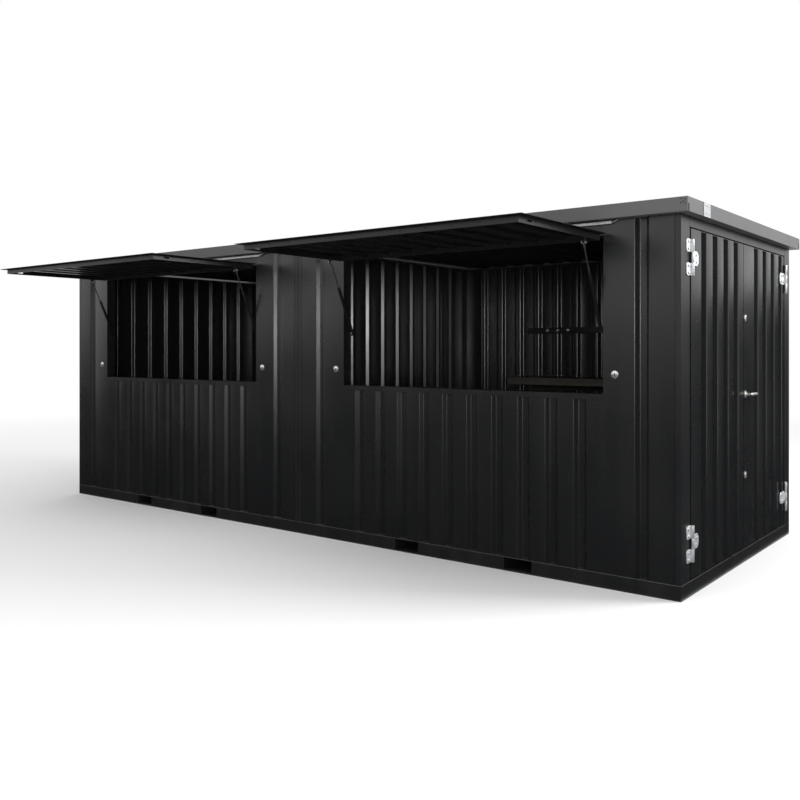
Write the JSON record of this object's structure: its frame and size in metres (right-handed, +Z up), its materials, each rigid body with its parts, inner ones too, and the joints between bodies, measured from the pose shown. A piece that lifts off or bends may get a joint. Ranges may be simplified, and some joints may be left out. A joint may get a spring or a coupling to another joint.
{
  "type": "container bar",
  "caption": "Black sheet-steel container bar with grooved walls, raised serving hatches on gas struts and a double door in one end.",
  "frame": {"origin": "centre of the underside of the base, on the middle rail under the joint of the two modules", "axes": "+X along the serving front towards the doors, +Y from the front into the building, +Z up"},
  "size_m": [6.122, 3.242, 2.233],
  "materials": {
    "paint": "satin",
    "floor_board": "matte",
    "shelf_board": "matte",
    "zinc": "galvanised",
    "nickel": "satin nickel",
    "rod_steel": "ground and plated",
    "cylinder_black": "gloss"
  },
  "bodies": {
    "building": {"base_frame_left": "paint", "base_frame_right": "paint", "base_joint_rail": "paint", "floor_panels": "floor_board", "front_panels": "paint", "front_flanks": "paint", "hatch_headers": "paint", "hatch_frames": "paint", "back_walls": "paint", "left_end_wall": "paint", "cross_wall": "paint", "corner_posts": "paint", "joint_posts": "paint", "door_posts": "paint", "door_header": "paint", "roof_edges": "paint", "roof_sheets": "paint", "roof_joint_cap": "paint", "splice_plate": "zinc", "hatch_locks": "nickel", "hook_rails": "paint", "back_shelves": "shelf_board", "hatch_hinge_wall_leaves": "paint", "strut_foot_brackets": "zinc", "door_hinge_post_plates": "zinc"},
    "hatch_left": {"hatch_sheet_left": "paint", "hatch_rim_left": "paint", "hatch_hinges_left": "paint", "strut_head_brackets_left": "zinc"},
    "rod_left_a": {"strut_rod_left_a": "rod_steel"},
    "cylinder_left_a": {"strut_cylinder_left_a": "cylinder_black"},
    "rod_left_b": {"strut_rod_left_b": "rod_steel"},
    "cylinder_left_b": {"strut_cylinder_left_b": "cylinder_black"},
    "hatch_right": {"hatch_sheet_right": "paint", "hatch_rim_right": "paint", "hatch_hinges_right": "paint", "strut_head_brackets_right": "zinc"},
    "rod_right_a": {"strut_rod_right_a": "rod_steel"},
    "cylinder_right_a": {"strut_cylinder_right_a": "cylinder_black"},
    "rod_right_b": {"strut_rod_right_b": "rod_steel"},
    "cylinder_right_b": {"strut_cylinder_right_b": "cylinder_black"},
    "door_front": {"door_front_leaf": "paint", "door_front_hinges": "zinc"},
    "door_back": {"door_back_leaf": "paint", "door_back_hinges": "zinc", "door_locks": "nickel"},
    "handle": {"door_handle": "nickel"}
  },
  "joints": [
    {"name": "hatch_left_hinge", "type": "hinge", "parent": "building", "child": "hatch_left", "pos_m": [-1.501, -1.108, 2.07], "axis": [1, 0, 0], "range_deg": [0, 90]},
    {"name": "rod_left_a_pivot", "type": "hinge", "parent": "hatch_left", "child": "rod_left_a", "pos_m": [-2.491, -1.273, 2.008], "axis": [1, 0, 0], "range_deg": [-114.53, 0]},
    {"name": "cylinder_left_a_slide", "type": "slide", "parent": "rod_left_a", "child": "cylinder_left_a", "axis": [0, -0.4095, 0.9123], "range_m": [0, 0.153]},
    {"name": "rod_left_b_pivot", "type": "hinge", "parent": "hatch_left", "child": "rod_left_b", "pos_m": [-0.511, -1.273, 2.008], "axis": [1, 0, 0], "range_deg": [-114.53, 0]},
    {"name": "cylinder_left_b_slide", "type": "slide", "parent": "rod_left_b", "child": "cylinder_left_b", "axis": [0, -0.4095, 0.9123], "range_m": [0, 0.153]},
    {"name": "hatch_right_hinge", "type": "hinge", "parent": "building", "child": "hatch_right", "pos_m": [1.501, -1.108, 2.07], "axis": [1, 0, 0], "range_deg": [0, 90]},
    {"name": "rod_right_a_pivot", "type": "hinge", "parent": "hatch_right", "child": "rod_right_a", "pos_m": [0.511, -1.273, 2.008], "axis": [1, 0, 0], "range_deg": [-114.53, 0]},
    {"name": "cylinder_right_a_slide", "type": "slide", "parent": "rod_right_a", "child": "cylinder_right_a", "axis": [0, -0.4095, 0.9123], "range_m": [0, 0.153]},
    {"name": "rod_right_b_pivot", "type": "hinge", "parent": "hatch_right", "child": "rod_right_b", "pos_m": [2.491, -1.273, 2.008], "axis": [1, 0, 0], "range_deg": [-114.53, 0]},
    {"name": "cylinder_right_b_slide", "type": "slide", "parent": "rod_right_b", "child": "cylinder_right_b", "axis": [0, -0.4095, 0.9123], "range_m": [0, 0.153]},
    {"name": "door_front_hinge", "type": "hinge", "parent": "building", "child": "door_front", "pos_m": [3.014, -0.959, 1.1], "axis": [0, 0, -1], "range_deg": [0, 170]},
    {"name": "door_back_hinge", "type": "hinge", "parent": "building", "child": "door_back", "pos_m": [3.014, 0.959, 1.1], "axis": [0, 0, 1], "range_deg": [0, 170]},
    {"name": "handle_turn", "type": "hinge", "parent": "door_back", "child": "handle", "pos_m": [3.02, 0.036, 1.1], "axis": [-1, 0, 0], "range_deg": [0, 45], "stiffness_Nm_per_rad": 1, "springref_deg": -34.38}
  ],
  "couplings": [
    {"joint": "rod_left_a_pivot", "follows": "hatch_left_hinge", "ratio": -1.267},
    {"joint": "cylinder_left_a_slide", "follows": "hatch_left_hinge", "m_per_rad": 0.096651},
    {"joint": "rod_left_b_pivot", "follows": "hatch_left_hinge", "ratio": -1.267},
    {"joint": "cylinder_left_b_slide", "follows": "hatch_left_hinge", "m_per_rad": 0.096651},
    {"joint": "rod_right_a_pivot", "follows": "hatch_right_hinge", "ratio": -1.267},
    {"joint": "cylinder_right_a_slide", "follows": "hatch_right_hinge", "m_per_rad": 0.096651},
    {"joint": "rod_right_b_pivot", "follows": "hatch_right_hinge", "ratio": -1.267},
    {"joint": "cylinder_right_b_slide", "follows": "hatch_right_hinge", "m_per_rad": 0.096651}
  ]
}
